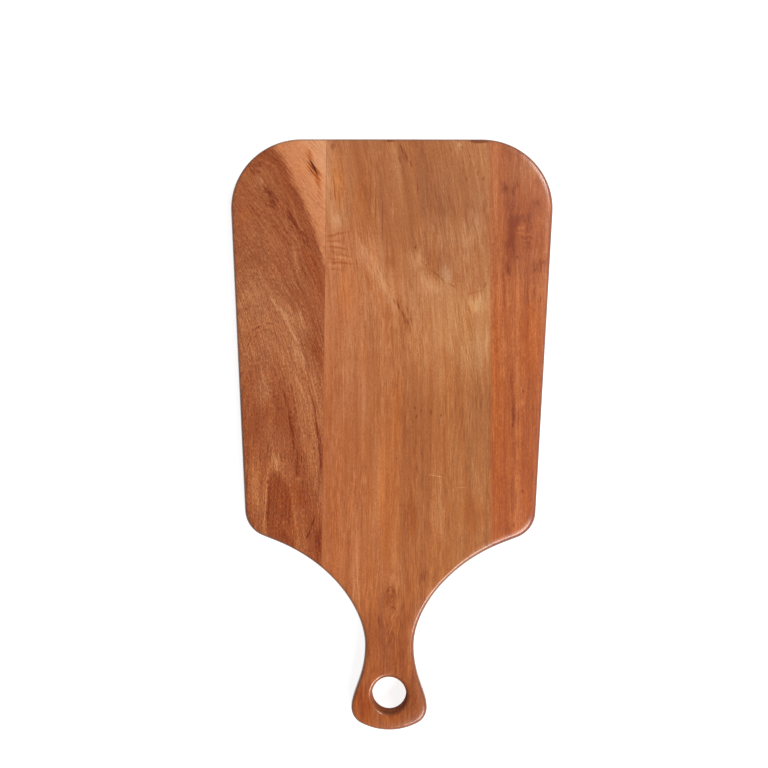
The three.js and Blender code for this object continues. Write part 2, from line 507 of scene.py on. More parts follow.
class Stave:
    """What the three wood finishes share: places in the wood, its fibres and the final shader."""

    DRIFT = 0.45  # sideways shift of the figure per depth below the serving face
    SWAY_CELL = 14 * MM  # slow sideways sway of the figure
    SWAY = 4 * MM
    FEATHER_CELL = cell(1.1, 26)  # ragged ends of the figure along the fibres
    FEATHER = 22 * MM
    PORE_EDGE = 0.16  # how softly a pore begins
    RED_TINT = (0.02, -0.08, -0.24)  # what full redness adds to each channel, as a share
    RED_FROM_TO = (130 * MM, -150 * MM)  # the wood grows redder from the far edge to the grip
    RED_RANGE = (0.0, 1.0)

    # How far the wood turns to the colour of its pores: darker end grain, and painted shade on the sloping rims and
    # upright sides; slopes are the upward share of the normal
    END_GRAIN_DARK = 0.2
    RIM_SHADE_SLOPE = (0.985, 0.68)  # where the painted shade on a rim begins, and where it is darkest
    SIDE_SHADE_SLOPE = (0.3, 0.05)  # where the painted shade of the rim gives way to that of the side
    # painted shade on the upright sides, as a share of the way to the pore colour
    SIDE_PAINTED_SHADE = 0.3
    BORED_DARK = -0.4

    ROUGHNESS = 0.34
    TONE_ROUGHNESS = -0.06  # pale wood is a little glossier
    WORN_CELL = 30 * MM
    WORN_ROUGHNESS = 0.12
    PORE_ROUGHNESS = 0.1
    BORED_ROUGHNESS = 0.6
    COAT = 0.4
    COAT_ROUGHNESS = 0.2
    RELIEF = (0.6, 12, 0.6)  # streaks that stand proud of the face
    PORE_RELIEF = 0.8
    BUMP_STRENGTH = 0.2
    BUMP_HEIGHT = 0.1 * MM

    def __init__(self, name, thickness):
        self.graph = graph = Graph(name)
        self.coordinates = graph.tree.nodes.new("ShaderNodeTexCoord").outputs["Object"]
        self.x, self.y, self.z = graph.split(self.coordinates)
        self.depth = graph.minus(thickness, self.z)
        self.inner_x = graph.times_plus(self.depth, self.DRIFT, self.x)
        self.place = graph.join(self.inner_x, self.y)

    def set_fibres(self, across):
        """Takes the coordinate that runs across the fibres, and makes feathered places for the figure."""
        graph = self.graph
        self.fibre = graph.join(across, self.y, self.z)
        sway = graph.noise(self.coordinates, self.SWAY_CELL)
        feather = graph.noise(self.fibre, self.FEATHER_CELL, 1.0)
        shift = graph.join(graph.times(sway, self.SWAY), graph.times(feather, self.FEATHER))
        self.feathered = graph.vector("ADD", self.place, shift)

    def curl(self, start, bend):
        """Sideways bend of the fibres that grows from a start towards the far end."""
        graph = self.graph
        rise = graph.math("MAXIMUM", graph.minus(self.y, start), 0.0)
        return graph.times(graph.math("POWER", rise, 2.0), bend)

    def streaks(self, wide, long, amount, detail=1.0, roughness=0.75):
        """Tone of fibre streaks, from the widest down to the finest."""
        return self.graph.times(self.graph.noise(self.fibre, cell(wide, long), detail, roughness), amount)

    def ragged(self, wide, long, amount):
        """Shift of an edge by single fibres."""
        return self.graph.times(self.graph.noise(self.fibre, cell(wide, long)), amount)

    def pores(self, wide, long, level):
        """Short dark vessels cut open along the fibres; 1 inside one."""
        return self.graph.spread(
            self.graph.noise(self.fibre, cell(wide, long)), level, level + self.PORE_EDGE)

    def patchy(self, wide, long, amount):
        """Slow change from patch to patch."""
        return self.graph.times(self.graph.noise(self.coordinates, cell(wide, long), 1.0), amount)

    def across_mm(self, wide, long, amount):
        """Place across the board in mm, swaying from patch to patch."""
        return self.graph.over(self.graph.plus(self.patchy(wide, long, amount), self.inner_x), MM)

    def lines(self, place, patch, lean, wide, long, amount):
        """Fine lines that lean to the left, inside a patch."""
        graph = self.graph
        inside, _ = marks(graph, place, patch)
        leaning = graph.join(graph.times_plus(self.y, lean, self.x), self.y)
        return graph.times(graph.noise(leaning, cell(wide, long), 1.0), graph.times(inside, amount))

    def rings(self, middle, patch, stretch, sway, step, amount):
        """Faint rings round a knot or burl, inside a patch; sway is a cell in mm and an amount."""
        graph = self.graph
        inside, _ = marks(graph, self.place, patch)
        aside = graph.over(graph.minus(self.x, middle.x), stretch)
        radius = graph.vector("LENGTH", graph.join(aside, graph.minus(self.y, middle.y)))
        radius = graph.plus(radius, self.patchy(sway[0], sway[0], sway[1]))
        return graph.times(waves(graph, radius, step), graph.times(inside, amount))

    def finish(self, base, red, tone, pores, pore_colour, pore_dark, rim_painted_shade, drilled=None):
        """Wires colour, roughness and bump into the shader, with painted shade on the rims and sides; drilled marks a
        bored wall, paler and left matt.
        """
        graph = self.graph
        inputs = graph.shader.inputs
        red = graph.plus(red, graph.spread(self.y, *self.RED_FROM_TO, *self.RED_RANGE, "LINEAR"))
        normal = graph.split(graph.tree.nodes.new("ShaderNodeNewGeometry").outputs["Normal"])
        end_grain = graph.math("POWER", graph.math("ABSOLUTE", normal[1]), 2.0)
        slope = graph.math("ABSOLUTE", normal[2])
        dark = graph.plus(
            graph.times(pores, pore_dark), graph.times(end_grain, self.END_GRAIN_DARK),
            # painted shade: rims and sides turn towards the pore colour as they slope away from the serving face
            graph.spread(slope, *self.RIM_SHADE_SLOPE, 0.0, rim_painted_shade),
            graph.spread(slope, *self.SIDE_SHADE_SLOPE, 0.0, self.SIDE_PAINTED_SHADE - rim_painted_shade))
        worn = graph.noise(self.coordinates, self.WORN_CELL, 2.0)
        rough = graph.plus(
            graph.times_plus(tone, self.TONE_ROUGHNESS, self.ROUGHNESS), graph.times(worn, self.WORN_ROUGHNESS),
            graph.times(pores, self.PORE_ROUGHNESS))
        inputs["Coat Weight"].default_value = self.COAT
        if drilled:
            dark = graph.plus(dark, graph.times(drilled, self.BORED_DARK))
            rough = graph.times_plus(drilled, self.BORED_ROUGHNESS, rough)
            graph.feed(inputs["Coat Weight"], graph.times_plus(drilled, -self.COAT, self.COAT))
        wood = graph.tinted(base, red, self.RED_TINT)
        graph.feed(inputs["Base Color"], graph.blend(dark, wood, (*pore_colour, 1.0)))
        graph.feed(inputs["Roughness"], rough)
        bump = graph.tree.nodes.new("ShaderNodeBump")
        bump.inputs["Strength"].default_value = self.BUMP_STRENGTH
        bump.inputs["Distance"].default_value = self.BUMP_HEIGHT
        relief = graph.minus(self.streaks(*self.RELIEF), graph.times(pores, self.PORE_RELIEF))
        graph.feed(bump.inputs["Height"], relief)
        graph.feed(inputs["Normal"], bump.outputs[0])
        inputs["Coat Roughness"].default_value = self.COAT_ROUGHNESS
        return graph.material


SWERVE_LONG = 1.5  # a swerve is longer along the fibres than across them
SWERVE_END = 2.2  # reaches from a knot at which the fibres run straight again


def swerve(stave, knot, reach, strength):
    """Coordinate across fibres that part and flow round a knot."""
    graph = stave.graph
    aside, along = graph.minus(stave.x, knot.x), graph.minus(stave.y, knot.y)
    near = graph.vector("LENGTH", graph.join(graph.over(aside, reach), graph.over(along, SWERVE_LONG * reach)))
    bulge = graph.times(aside, graph.spread(near, SWERVE_END, 0.0, 0.0, strength))
    return graph.minus(stave.x, bulge)


def waves(graph, along, step):
    """Sine of a place, with one wave in each step."""
    return graph.math("SINE", graph.times(along, 2 * math.pi / step))


# A row of grain has the width and length of its streaks in mm, their amount and, for broad bands, their detail and
# roughness. A row of pores has their width and length in mm and the level at which they open. Sway, ragged edges and
# patches of redness have the width and length of a cell in mm and an amount.

# Left stave: slab-sawn, so its growth rings show as arches round a pith that dips under the serving face.
PITH_X = -88 * MM  # pith line at PITH_Y, seen from above
PITH_Y = 72 * MM
PITH_LEAN = 0.123  # how far the pith line shifts to the left for each step away from the grip
PITH_DIVE = 0.225  # how fast it dives below the face on its way from the grip
PITH_SURFACE_Y = -72 * MM  # where it comes out of the face
RING_REACH = 90  # mm of radius that the ring tones cover
RING_TONES = (
    (0, 0.26), (7, 0.27), (8.5, 0.36), (10, 0.57), (12, 0.51), (15, 0.44), (19, 0.35), (22, 0.38), (26, 0.48),
    (30, 0.58), (34, 0.63), (37, 0.6), (40, 0.52), (43, 0.43), (46, 0.48), (49, 0.41), (53, 0.46), (57, 0.42),
    (60, 0.33), (63, 0.42), (70, 0.62), (90, 0.7),
)
RING_LINES = ((0, 0.2), (16, 0.25), (24, 0.42), (30, 0.65), (40, 0.65), (46, 0.55), (56, 0.55), (62, 0.4), (90, 0.2))
RING_REDS = (
    (0, 0.75), (8, 0.7), (11, 0.3), (20, 0.5), (28, 0.3), (34, 0.1), (40, 0.2), (47, 0.4), (54, 0.7), (61, 1),
    (66, 0.4), (90, 0.4),
)
RING_RED_LEVEL = 0.45  # ring redness that leaves the colour as it is
SAPWOOD_FROM = 61.5 * MM
SAPWOOD_FULL = 64.5 * MM
RING_SWAY = (22, 22, 5 * MM)
RING_RAGGED = (1.2, 9, 2.4 * MM)
LINE_STEP = 1.2 * MM  # dark lines within the rings
LINE_STRETCH = 0.03
LINE_FLANK = (4 * MM, 20 * MM, 0.4, 1.0)  # they are fainter right over the pith
SAPWOOD_SWAY = (22, 22, 3 * MM)
SAPWOOD_RAGGED = (1, 7, 3 * MM)
SAPWOOD_TONE = 0.62
SAPWOOD_GRAIN = 0.55  # share of the grain that shows in the sapwood
SAPWOOD_FADE = (64 * MM, 80 * MM, -0.1, 0.12)  # it grows paler outwards
LEFT_CURL = (-10 * MM, 2.2)  # where the fibres begin to bend, and how much per metre
LEFT_GRAIN = ((3, 40, 0.2, 2, 0.6), (0.6, 14, 0.66), (0.5, 2, 1.25))
LEFT_PATCHY_RED = (18, 18, 1.2)
LEFT_PORES = (0.6, 6, 0.1)
SPECKLES = (0.75, 3.2, 0.06)
SPECKLE_TONE = -0.45
LEFT_PORE_COLOUR = linear_colour(92, 40, 18)
PALEST_SAPWOOD = linear_colour(236, 180, 134)
CRACK_COLOUR = linear_colour(70, 30, 16)

LEFT_FIGURE = (
    (-82, 156, 4, 14, 30, -0.2, -0.6), (-67, 137, 4, 13, 34, -0.22, -0.6), (-58, 124, 3, 9, 30, -0.2, -0.4),
    (-91, 175, 4, 7, 34, -0.1, -0.5), (-88, 164, 4, 9, 30, 0.14, -0.5), (-97, 138, 7, 26, 10, 0.06, 0.6),
    (-78, 122, 10, 16, 30, 0.04, 0.2), (-64, 112, 3, 14, 18, 0.16, -0.3), (-91, 108.5, 9, 2.6, -6, -0.12, -0.4),
    (-76, 104, 9, 8, 40, 0.06, 0.3), (-52, 103, 5, 24, 20, -0.1, 0.7), (-49, 52, 4, 22, 12, -0.16, 0.8),
    (-83, 84, 8, 9, 50, -0.06, -0.2), (-60, 68, 6, 11, 25, 0.2, -0.4), (-71, 72, 5, 18, 32, 0.14, -0.5),
    (-61, 50, 4, 22, 18, 0.12, -0.3), (-84, 24, 9, 20, 0, 0.22, -0.8), (-79, 6, 5, 20, 0, 0.14, 0.4),
    (-66, 4, 2.6, 20, 9, -0.16, 0.2), (-60.5, -26, 2, 14, 8, -0.2, 0.3), (-47.5, -6, 2.4, 28, 8, -0.18, 0.1),
    (-75, -24, 4, 9, 8, 0.2, -0.5), (-62, -47, 14, 16, 14, -0.11, 1), (-55, -22, 5, 18, 8, 0.06, 0.4),
    (-89, -36, 6, 34, 0, 0.3, 0.4), (-67, -67, 9, 6, 0, 0.16, 0.2), (-45.5, -76, 4.5, 18, 0, -0.36, 0.2),
    (-45.5, -28, 2.6, 24, 0, -0.22, 0.1),
)
LEFT_FLECKS = (
    (-53, -71, 0.9, 4.5, -25, -0.65), (-50, -63, 0.9, 5, -20, -0.55), (-55, -50, 0.7, 3, 10, -0.3),
    (-65, 24, 0.7, 5, 12, -0.4), (-64, -4, 0.7, 6, 8, -0.4), (-58, -22, 0.7, 5, 8, -0.4), (-61, -31, 0.7, 4, 8, -0.4),
    (-70, 30, 0.6, 5, 14, -0.3), (-64, 66, 0.6, 3, 20, -0.3), (-80, -37, 1.2, 1.8, 0, -0.4),
    (-80, -16, 0.6, 9, -2, -0.3), (-59.5, -35, 1.6, 4, 0, 0.25), (-81, -50, 0.8, 24, -3, 0.28),
    (-79, -52, 0.7, 20, -3, -0.25), (-75, -23, 1.2, 6, 14, 0.2), (-79, 83.5, 0.6, 5.5, 33, 0.35),
    (-66.5, 77.5, 0.6, 5, 27, 0.35), (-64, 59.5, 0.6, 7, 29, 0.45), (-57.8, 45, 0.6, 6.5, 24, 0.35),
    (-94, 54, 0.7, 9, -20, -0.35), (-88.5, 64.5, 0.7, 5, -55, -0.35), (-80, 67.5, 0.7, 5, 80, -0.3),
    (-90, 58, 0.6, 8, -25, -0.25), (-84, 63, 0.6, 5, -70, -0.25), (-86, 160, 0.7, 4, 32, -0.3),
    (-82, 155, 0.8, 4, 34, -0.35), (-79, 150, 0.7, 4, 34, -0.3), (-84, 148, 0.7, 3, 34, -0.3),
    (-68, 141, 0.7, 5, 34, -0.35), (-64, 134, 0.8, 5, 32, -0.4), (-60, 128, 0.7, 4, 30, -0.35),
    (-56, 121, 0.6, 3, 28, -0.3), (-94, 171, 0.6, 5, 34, -0.3), (-97, 126, 0.6, 3, 20, -0.3),
    (-69.5, 18, 0.7, 9, 13, -0.35), (-66, 2, 0.8, 9, 10, -0.45), (-63.5, -12, 0.7, 6, 8, -0.4),
    (-50.5, 14, 0.8, 9, 14, -0.35), (-48.2, -2, 0.8, 12, 9, -0.5), (-46, -20, 0.8, 12, 4, -0.45),
    (-53, 22, 0.6, 8, 16, -0.3), (-73, 26, 0.6, 6, 14, -0.25), (-78, -18, 0.6, 9, -10, -0.3),
    (-72, -20, 0.6, 8, 22, -0.25),
)
FLECK_BAND = ((-82, 154, 6, 17, 26, 1), (-67, 138, 5, 14, 34, 1), (-58, 125, 4, 11, 30, 1), (-92, 175, 6, 9, 34, 0.8))
CRACK_HALO = ((-52.8, 174, 2.4, 18, 25, -0.42, 2.6), (-49.2, 161, 1.6, 14, 20, -0.22, 1.6))
CRACK = ((-53, 175, 1, 6.5, 26, -0.9), (-50.6, 170.5, 0.6, 4, 24, -0.7))


def left_wood(colours, thickness):
    """Slab-sawn red-brown wood with a pale wedge of sapwood at its far end."""
    stave = Stave("left_stave_wood", thickness)
    graph, x, y = stave.graph, stave.x, stave.y
    stave.set_fibres(graph.plus(x, stave.curl(*LEFT_CURL)))

    across = graph.times_plus(y, PITH_LEAN, graph.minus(x, PITH_X + PITH_LEAN * PITH_Y))
    below = graph.minus(graph.times_plus(y, PITH_DIVE, -PITH_DIVE * PITH_SURFACE_Y), stave.depth)
    radius = graph.vector("LENGTH", graph.join(across, below))
    swayed = graph.plus(radius, stave.patchy(*RING_SWAY))
    ring_mm = graph.over(graph.plus(swayed, stave.ragged(*RING_RAGGED)), MM)
    lined, ringed, ring_red = (
        graph.curve(ring_mm, 0, RING_REACH, points) for points in (RING_LINES, RING_TONES, RING_REDS))
    lines = graph.noise(graph.join(swayed, graph.times(y, LINE_STRETCH)), LINE_STEP, 1.0)
    flank = graph.spread(graph.math("ABSOLUTE", across), *LINE_FLANK)
    rings = graph.plus(graph.times(lines, graph.times(flank, lined)), ringed)
    ring_red = graph.minus(ring_red, RING_RED_LEVEL)

    figure, red = marks(graph, stave.feathered, LEFT_FIGURE)
    flecks, _ = marks(graph, stave.place, LEFT_FLECKS)
    halo, halo_red = marks(graph, stave.feathered, CRACK_HALO)
    crack, _ = marks(graph, stave.place, CRACK, core=0.4)
    grain = graph.plus(*(stave.streaks(*row) for row in LEFT_GRAIN))
    flecked, _ = marks(graph, stave.place, FLECK_BAND, core=0.3)
    speckle = graph.times(stave.pores(*SPECKLES), graph.times(flecked, SPECKLE_TONE))
    tone = graph.plus(rings, figure, flecks, grain, speckle)
    heart = graph.palette(tone, (0.0, colours.left_dark), (0.5, colours.left_body), (1.0, colours.left_light))

    sap_edge = graph.plus(radius, stave.patchy(*SAPWOOD_SWAY), stave.ragged(*SAPWOOD_RAGGED))
    sap = graph.spread(sap_edge, SAPWOOD_FROM, SAPWOOD_FULL)
    sap_tone = graph.plus(
        SAPWOOD_TONE, graph.times(grain, SAPWOOD_GRAIN), halo, graph.spread(radius, *SAPWOOD_FADE))
    sapwood = graph.palette(
        sap_tone, (0.0, colours.left_dark), (0.25, colours.left_body), (SAPWOOD_TONE, colours.left_sapwood),
        (1.0, PALEST_SAPWOOD))
    base = graph.blend(sap, heart, sapwood)
    base = graph.blend(graph.times(crack, -1.0), base, (*CRACK_COLOUR, 1.0))
    redness = graph.plus(red, halo_red, ring_red, stave.patchy(*LEFT_PATCHY_RED))
    # the last number is the painted shade on this stave's rims
    return stave.finish(
        base, redness, tone, stave.pores(*LEFT_PORES), LEFT_PORE_COLOUR, pore_dark=0.34, rim_painted_shade=0.62)


# Centre stave: the arch of an old growth zone crosses it, greyer beyond and golden on the near side.
CENTRE_EDGE_MM = (-50, 70)  # the tones across the stave run from just beyond one joint to just beyond the other
ARCH_LINE = (
    (-50, 126), (-43, 126), (-36, 129), (-26, 130), (-17, 127), (-8, 123), (2, 115), (13, 112), (24, 107), (37, 95),
    (46, 91), (56, 87), (65, 92), (70, 95),
)
ARCH_SCALE = 150  # a curve's heights lie from 0 to 1, so the arch is drawn to this scale
FAR_TONES = (
    (-50, 0.74), (-42, 0.73), (-35, 0.71), (-27, 0.61), (-18, 0.49), (-9, 0.49), (1, 0.46), (6, 0.5), (17, 0.41),
    (33, 0.37), (41, 0.44), (53, 0.53), (70, 0.54),
)
MIDDLE_TONES = (
    (-50, 0.7), (-43, 0.69), (-31, 0.62), (-16, 0.56), (-9, 0.6), (1, 0.52), (9, 0.56), (17, 0.55), (29, 0.69),
    (37, 0.69), (45, 0.64), (55, 0.65), (70, 0.64),
)
NEAR_TONES = (
    (-50, 0.43), (-43, 0.44), (-33, 0.52), (-23, 0.5), (-11, 0.52), (-3, 0.5), (4, 0.49), (13, 0.37), (21, 0.36),
    (31, 0.44), (45, 0.45), (53, 0.44), (64, 0.36), (70, 0.36),
)
PINK_FROM_TO = (-45 * MM, 50 * MM)  # the wood is pinker near the left joint and yellower near the right one
PINK_RANGE = (1.0, -0.8)
PINK_TINT = (0.03, -0.05, 0.01)  # what full pinkness adds to each channel, as a share
FAR_PINK = -0.7  # what the far zone takes off the pinkness, as a share
FAR_RED = -0.25
ARCH_EDGE = (-3 * MM, 9 * MM)  # how softly the far zone begins beyond the arch
MIDDLE_EDGE = (8 * MM, 58 * MM)
CENTRE_SWAY = (14, 60, 9 * MM)
CENTRE_CURL = (20 * MM, 0.6)
CURL_SHARE = 0.5  # share of the curl that the zones follow
CENTRE_GRAIN = ((5, 90, 0.62, 2, 0.6), (1.3, 50, 0.26), (0.85, 10, 0.5), (0.7, 1.7, 0.45))
BUSY_SWAY = (22, 40, 1.0)
BUSY = (-0.12, 0.12, 0.45, 1.45)  # the fine lines are busier in some patches
BUSY_NECK = (-70 * MM, -110 * MM, 0.0, 0.35)  # and towards the neck
CENTRE_PATCHY_RED = (8, 60, 2.0)
CENTRE_PORES = (0.5, 6, 0.15)
CENTRE_PORE_COLOUR = linear_colour(104, 54, 26)

CENTRE_FIGURE = (
    (58, -5, 11, 110, 0, -0.02, -0.6), (-18, 98, 24, 40, 20, 0.07, 0.2), (-15, 106, 2.6, 26, 27, 0.1, -0.2),
    (-39, 190, 7, 6, 0, -0.26, -0.7), (-36, 162, 8, 28, 6, 0.06, 1.6), (-37, 138, 4, 8, 8, 0.2, -0.2),
    (-20, 152, 10, 42, 0, -0.06, 0.9), (-6, 96, 3.6, 32, 25, 0.2, -0.4), (-19, 121, 4, 10, 38, 0.14, -0.2),
    (-17, 98, 3, 22, 27, -0.1, 0.5), (-1, 109, 4, 8, 30, -0.12, 0.6), (10, 96, 4, 12, 30, -0.06, 0.3),
    (-30, 88, 10, 30, 0, 0.02, 0.9), (8, 182, 4, 8, 16, -0.2), (46, 187, 8, 6, 0, 0.12, -0.4),
    (40, 150, 30, 50, 8, -0.1, -0.6), (49, 168, 5, 5, 0, -0.1), (29, 101, 1.8, 13, 47, -0.22),
    (27, 93, 4, 14, 47, 0.12, -0.3), (36, 101, 7, 9, 40, 0.26, -1.3), (33, 127, 20, 26, 60, 0.22, -0.2),
    (55, 132, 10, 14, 0, 0.14, -0.4), (57, 81, 9, 9, 0, 0.26, -0.5), (18, 110, 8, 10, 40, 0.18, -0.2),
    (42, 108, 14, 9, 20, 0.08, -0.4), (22, 90, 10, 12, 30, 0.1, -0.2), (-12, 118, 14, 12, 30, 0.04),
    (2, 92, 12, 16, 30, 0.12, 0.1), (4, 82, 1.8, 6, 18, -0.2), (10, 70, 2.4, 8, 18, -0.26),
    (56, 48, 9, 24, 6, 0.06, -0.4), (63.5, 54, 1.6, 14, 0, 0.26, -0.3), (36, 44, 10, 12, 10, -0.1),
    (3, 14, 8, 36, 0, 0.03, 0.9), (0, -40, 12, 60, 0, 0.02, 0.7), (-6, -30, 2, 40, 0, 0.1, 0.3),
    (55, -58, 14, 18, 10, -0.08, 0.8), (32, -56, 9, 26, 0, 0.08, -0.4), (14, -60, 5, 24, 0, -0.06, 0.8),
    (-36, -68, 10, 18, 0, -0.04, 0.2), (21, -97, 6, 3, 20, -0.26), (-16, -178, 8, 18, 10, -0.2, 1.7),
    (0, -168, 44, 70, 0, -0.23, 0.5), (-8, -158, 10, 8, 0, 0, 0.5), (0, -189, 14, 3, 0, 0.06),
    (13, -150, 3, 26, -4, 0.12, 0.2), (-14, -138, 2, 24, 4, -0.12), (-12, -112, 6, 14, 8, 0.06, 0.2),
    (12, -112, 5, 14, -12, 0.05), (0, -128, 24, 36, 0, -0.07), (0, -138, 4, 16, 4, -0.1),
    (-7, -130, 1.6, 12, 4, -0.16),
)
CENTRE_FLECKS = (
    (17.5, 160, 0.7, 7, 0, -0.3), (45.6, 189.5, 2.2, 1.6, 0, 0.28), (40, 186, 1.2, 2.4, 10, -0.28),
    (52.3, 181.5, 1.2, 1.6, 0, -0.26), (50, 165.5, 1.2, 2, 0, -0.24), (48, 177, 0.9, 2.4, 30, -0.2),
    (56, 174, 0.9, 2.4, -20, -0.2), (31, 100, 0.8, 9, 47, -0.3), (40.5, 93.2, 0.8, 5, 62, -0.24),
    (16, 119, 0.9, 1.6, 0, -0.6), (16, 12, 0.7, 1.8, 20, -0.5), (17, 6, 0.8, 2.2, -20, -0.5),
    (20, 10, 0.6, 1.6, 0, -0.4), (26.5, 9, 0.8, 2.6, 0, -0.45), (33, 7, 0.9, 1.2, 0, -0.45),
    (7, 186, 0.8, 5, 18, -0.4), (10, 181, 0.9, 5, 18, -0.4), (13, 176, 0.7, 4, 15, -0.35), (5, 179, 0.6, 4, 15, -0.3),
    (-40, 188, 2.4, 3, 0, -0.25), (-1, 192, 5, 1.2, 0, -0.5), (59, 192.2, 9, 2.4, 0, -0.9),
    (61.5, 166, 0.9, 2.6, -40, -0.4), (58, 170, 0.7, 3, -20, -0.25), (2, 83, 0.8, 3, 15, -0.35),
    (5, 79, 0.8, 3.5, 15, -0.4), (8, 74, 0.9, 4, 15, -0.4), (11, 69, 0.9, 4, 15, -0.4), (10, 64, 0.7, 3, 10, -0.3),
    (11, 77, 0.8, 4, 15, -0.3), (13.4, 70, 0.8, 4, 12, -0.3), (13, 64, 0.7, 3, 10, -0.25),
    (22, 108, 0.7, 6, 50, -0.22), (56, 89, 0.8, 8, -76, -0.2), (62.5, 94, 0.8, 3.5, -25, -0.35),
    (-7, -125, 0.8, 3, 0, -0.5), (43, 66, 0.6, 14, 10, 0.22), (41, 56, 0.6, 12, 10, -0.22),
    (50, 50, 0.5, 12, 12, -0.22), (53, 64, 0.5, 10, 12, -0.2), (57, 60, 0.5, 8, 12, 0.2), (47, 6, 0.5, 14, -4, -0.25),
    (30, 130, 0.6, 10, 8, -0.2), (41, 158, 0.5, 14, 10, 0.18), (44, 154, 0.5, 16, 10, -0.2),
    (50, 138, 0.5, 16, 12, -0.18), (55, 146, 0.5, 12, 12, -0.18), (24, 150, 0.5, 12, 4, -0.2),
    (-10.5, 148, 0.7, 18, 0, -0.35), (-6, 138, 0.6, 24, 0, -0.32), (-3, 118, 0.6, 20, 2, -0.25),
    (-14, 158, 0.6, 18, 0, -0.25), (1, 146, 0.6, 18, 0, 0.25), (-38, 156, 0.6, 9, 4, -0.4),
    (-35, 150, 0.6, 10, 4, -0.3), (-41, 154, 0.6, 8, 4, -0.4), (-36.5, 160, 0.5, 8, 4, 0.25),
    (-31, 24, 0.6, 62, 1, 0.16), (-21, -88, 0.6, 26, 1, 0.26), (-20, -110, 0.5, 12, 0, 0.2),
)
SCRATCHES = (
    (29.5, -32.5, 0.32, 9.5, 80, 0.42), (47, -40, 0.28, 4.5, 88, 0.3), (22, -24, 0.25, 5, 30, 0.18),
    (-22, -100, 0.3, 8, 88, 0.16),
)
RIPPLES = (
    (-36, 128, 1.4, 11, -77, -0.2, 0.8), (-39, 123.4, 1, 7, 87, -0.2, 0.7), (-35.5, 118.3, 1.2, 10, 80, -0.22, 0.8),
    (-37, 115.8, 0.9, 7, 82, -0.16, 0.6), (-32.5, 113.8, 1.1, 9, 84, -0.2, 0.7), (-38, 111, 1, 7, 86, -0.18, 0.6),
    (-34, 108.4, 1.5, 13, 90, -0.24, 0.9), (-37, 103.9, 1, 8, 84, -0.14, 0.6), (-37, 121, 1, 8, 84, 0.14),
    (-32, 111.8, 1, 9, 86, 0.14), (-38, 106.2, 0.9, 7, 88, 0.12),
)
FAN_PATCH = ((-9, 101, 14, 40, 27, 1),)
GOLD_PATCH = ((50, 78, 17, 16, 8, 1), (28, 92, 12, 14, 40, 0.7), (50, 52, 13, 26, 10, 0.7))
RIPPLE_SWAY = (8, 8, 3 * MM)
SCRATCH_DEPTH = (1.2 * MM, 0.4 * MM)  # scratches stay in the serving face
HOLE_Y = -172 * MM
BORED = (12.4 * MM, 11.2 * MM)  # distances from the middle of the hole between which the bored wall begins
KNOT = Vector((1 * MM, -111 * MM, 0))
KNOT_REACH = 8 * MM
KNOT_SWERVE = 0.35
WAVE_STEP = 9 * MM  # wavy fibres below the knot
WAVE_HEIGHT = 0.9 * MM
KNOT_FIGURE = ((1, -110, 8, 11, 12, -0.28, 0.7),)
KNOT_RINGS = ((0, -110, 6, 9, 14, 1),)
KNOT_STROKES = (
    (-1.2, -106, 0.9, 2.2, -30, -0.4), (2.4, -106.5, 0.7, 1.8, 30, -0.35), (0.6, -104, 0.8, 1.8, 80, -0.35),
    (1.2, -110, 0.8, 1.8, 70, -0.3), (-1.5, -114, 0.8, 2.6, 10, -0.35), (2.4, -117, 0.9, 2.6, 60, -0.45),
    (4.6, -106, 0.5, 6, -4, 0.25), (5.4, -114, 0.5, 5, 4, 0.22), (-5.2, -108, 0.5, 7, 4, 0.2),
    (4, -123, 0.5, 4, -20, 0.3), (1, -130, 0.5, 5, -20, 0.3), (-1.5, -138, 0.5, 5, -8, 0.25),
)
WAVY_PATCH = ((2, -128, 6, 20, -6, 1),)


